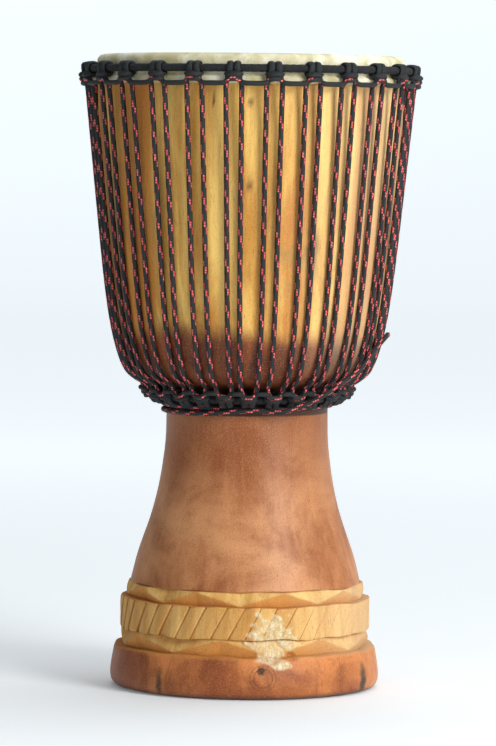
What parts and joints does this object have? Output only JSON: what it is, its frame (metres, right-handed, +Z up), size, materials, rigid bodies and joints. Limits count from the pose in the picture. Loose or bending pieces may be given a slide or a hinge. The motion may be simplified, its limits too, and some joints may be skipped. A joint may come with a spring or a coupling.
{
  "type": "djembe",
  "caption": "Goblet-shaped carved wooden hand drum with a skin head laced down by rope between two cloth-bound rings, with a band of knife carving round its foot",
  "frame": {"origin": "On the floor, on the drum's axis, at the centre of the foot.", "axes": "+Z up along the drum's axis, front towards -Y, the loose rope end towards +X."},
  "size_m": [0.342, 0.3414, 0.63],
  "materials": {
    "carved_wood": "oiled wood, reddish brown to golden, raw yellow wood in the carving",
    "drum_skin": "shaved goat skin, cream with olive mottling, matt",
    "ring_steel": "plain mild steel bar",
    "ring_binding": "black cloth strip wound tight",
    "loop_cord": "black braided cord",
    "lacing": "black braided rope with coral red flecks"
  },
  "bodies": {
    "shell": {"shell": "carved_wood", "skin": "drum_skin", "bottom_ring": "ring_steel", "bottom_ring_binding": "ring_binding", "bottom_loop_cord": "loop_cord", "lacing_rope": "lacing", "waist_winding": "lacing", "rope_tail": "lacing"},
    "head": {"flesh_ring": "ring_steel", "crown_ring": "ring_steel", "crown_ring_binding": "ring_binding", "crown_loop_cord": "loop_cord"}
  },
  "joints": [
    {"name": "head_tuning", "type": "slide", "parent": "shell", "child": "head", "axis": [0, 0, -1], "range_m": [0, 0.012], "deforming": ["lacing_rope", "skin"]}
  ]
}
